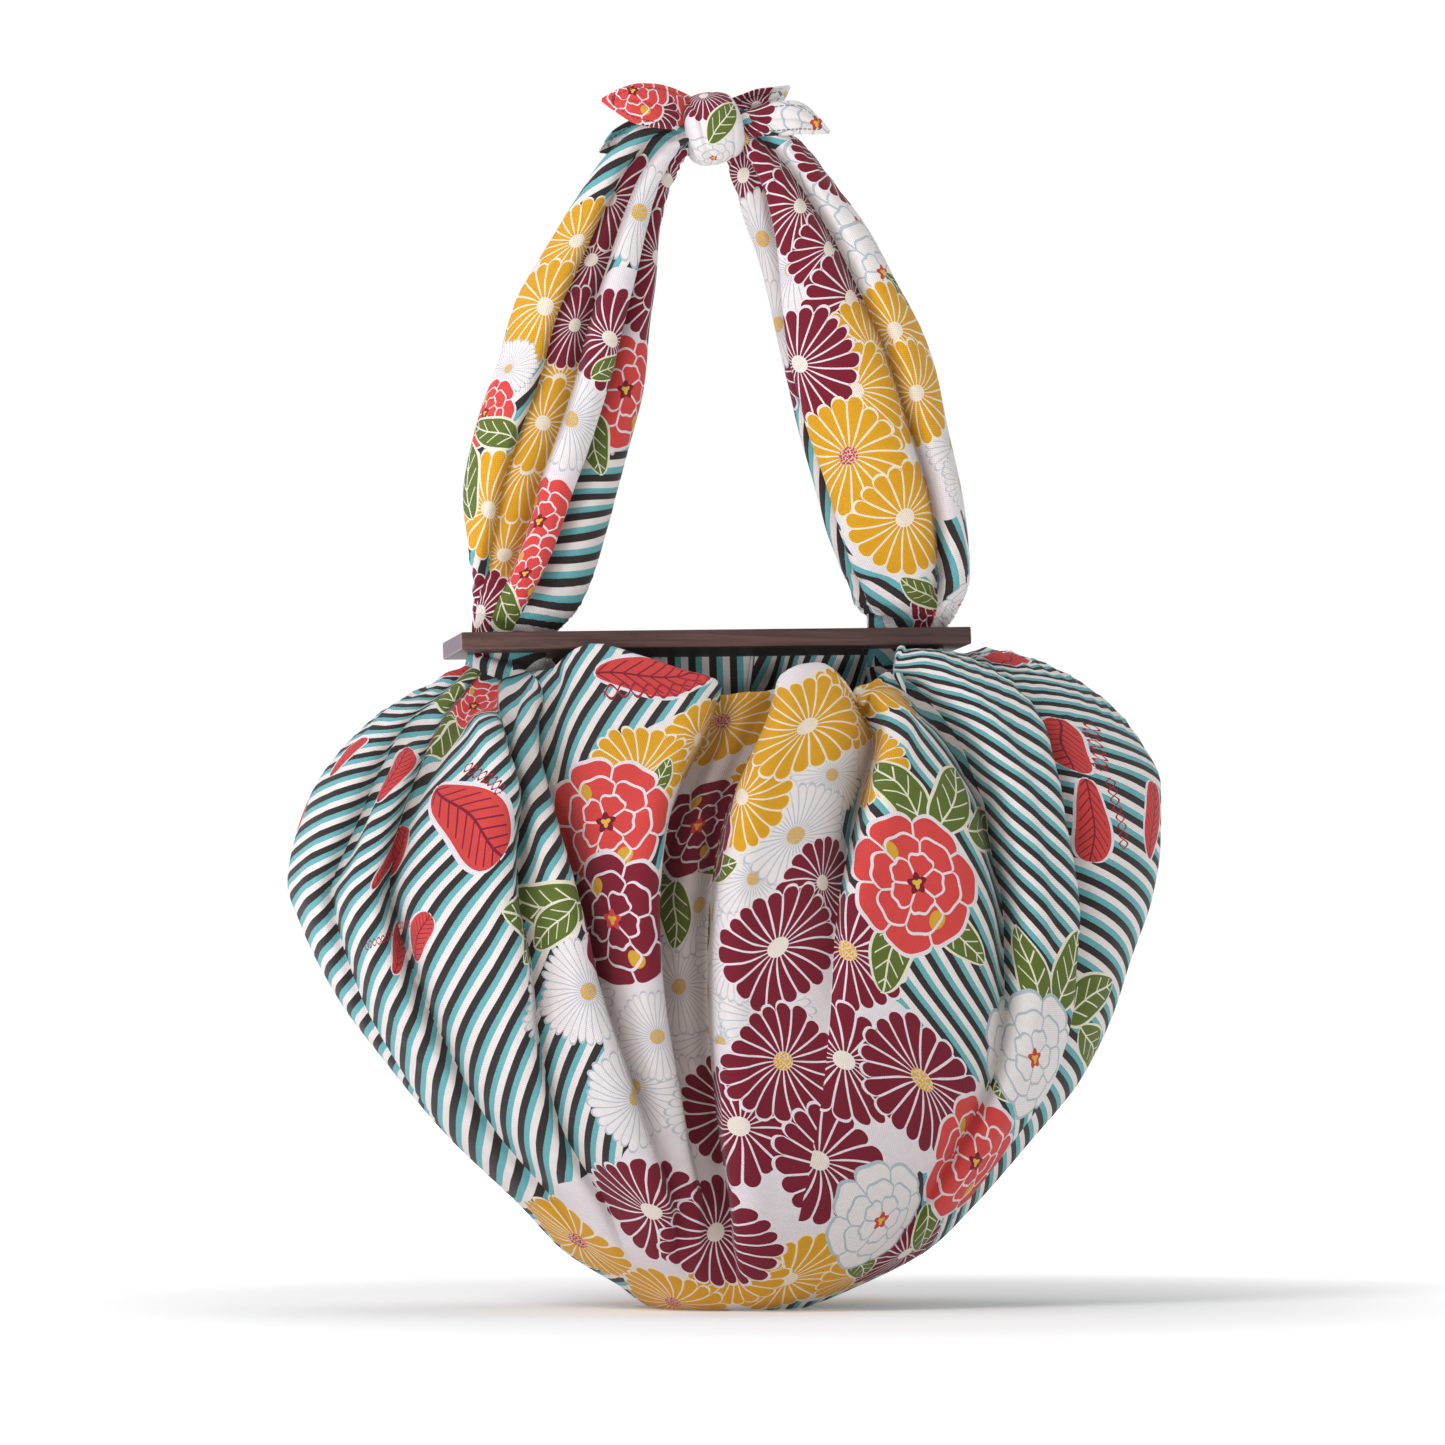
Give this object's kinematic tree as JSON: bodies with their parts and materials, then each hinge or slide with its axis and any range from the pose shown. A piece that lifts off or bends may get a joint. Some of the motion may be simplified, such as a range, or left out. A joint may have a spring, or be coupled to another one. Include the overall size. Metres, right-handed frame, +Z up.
{
  "type": "furoshiki bag with handle plate",
  "caption": "Bag made of one printed square cloth gathered through a slotted wooden handle plate and tied in a knot above it.",
  "frame": {"origin": "centre of the bounding box's bottom, on the surface that the bag stands on", "axes": "+Z up, +X along the plate to the right seen from the front, the front faces -Y"},
  "size_m": [0.4439, 0.2081, 0.6109],
  "materials": {
    "cloth_print": "plain woven printed cotton",
    "plate_walnut": "oiled walnut"
  },
  "bodies": {
    "root": {"cloth": "cloth_print", "plate": "plate_walnut"}
  },
  "joints": []
}
